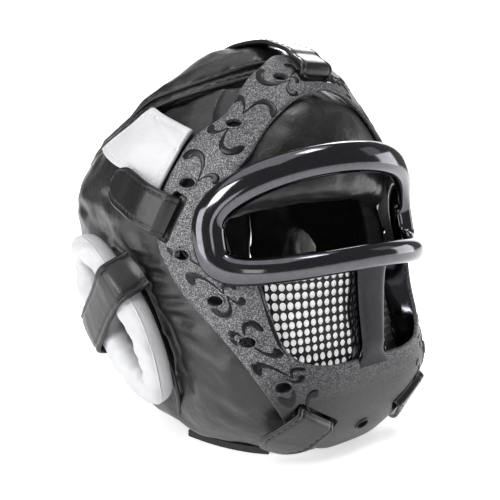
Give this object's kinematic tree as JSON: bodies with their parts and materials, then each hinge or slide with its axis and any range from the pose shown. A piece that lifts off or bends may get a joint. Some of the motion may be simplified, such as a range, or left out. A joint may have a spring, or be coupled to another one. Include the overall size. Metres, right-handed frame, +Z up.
{
  "type": "karate headgear",
  "caption": "Padded leather-cloth head guard with open ears and a strapped-on moulded face mask with an eye rim, pierced mouth screen and vents.",
  "frame": {"origin": "centre of the bounding box on the plane that the headgear stands on", "axes": "+Z up, the face looks along -Y, the wearer's left is +X"},
  "size_m": [0.2162, 0.228, 0.2371],
  "materials": {
    "black_leather": "soft grained leather-cloth over foam, satin",
    "white_leather": "soft grained leather-cloth, satin",
    "strap_leather": "stitched strap, half gloss",
    "moulded_mask": "dark grey moulded plastic with a fine sparkle, glossy black rim and scrolls",
    "screen_black": "matt black pierced sheet",
    "backing_white": "plain white sheet",
    "binding_black": "ribbed black tape"
  },
  "bodies": {
    "root": {"side_pad_right": "black_leather", "side_pad_left": "black_leather", "forehead_pad": "black_leather", "back_pad": "black_leather", "crown_pad": "black_leather", "chin_pad": "black_leather", "crown_piping": "black_leather", "white_panel_right": "white_leather", "white_panel_left": "white_leather", "ear_ring_right": "white_leather", "ear_ring_left": "white_leather", "ear_strap_right": "strap_leather", "ear_strap_left": "strap_leather", "face_mask": "moulded_mask", "mouth_screen": "screen_black", "screen_backing": "backing_white", "top_strap": "strap_leather", "temple_strap_right": "strap_leather", "temple_strap_left": "strap_leather", "chin_strap_right": "strap_leather", "chin_strap_left": "strap_leather", "neck_binding_right": "binding_black", "neck_binding_left": "binding_black"}
  },
  "joints": []
}
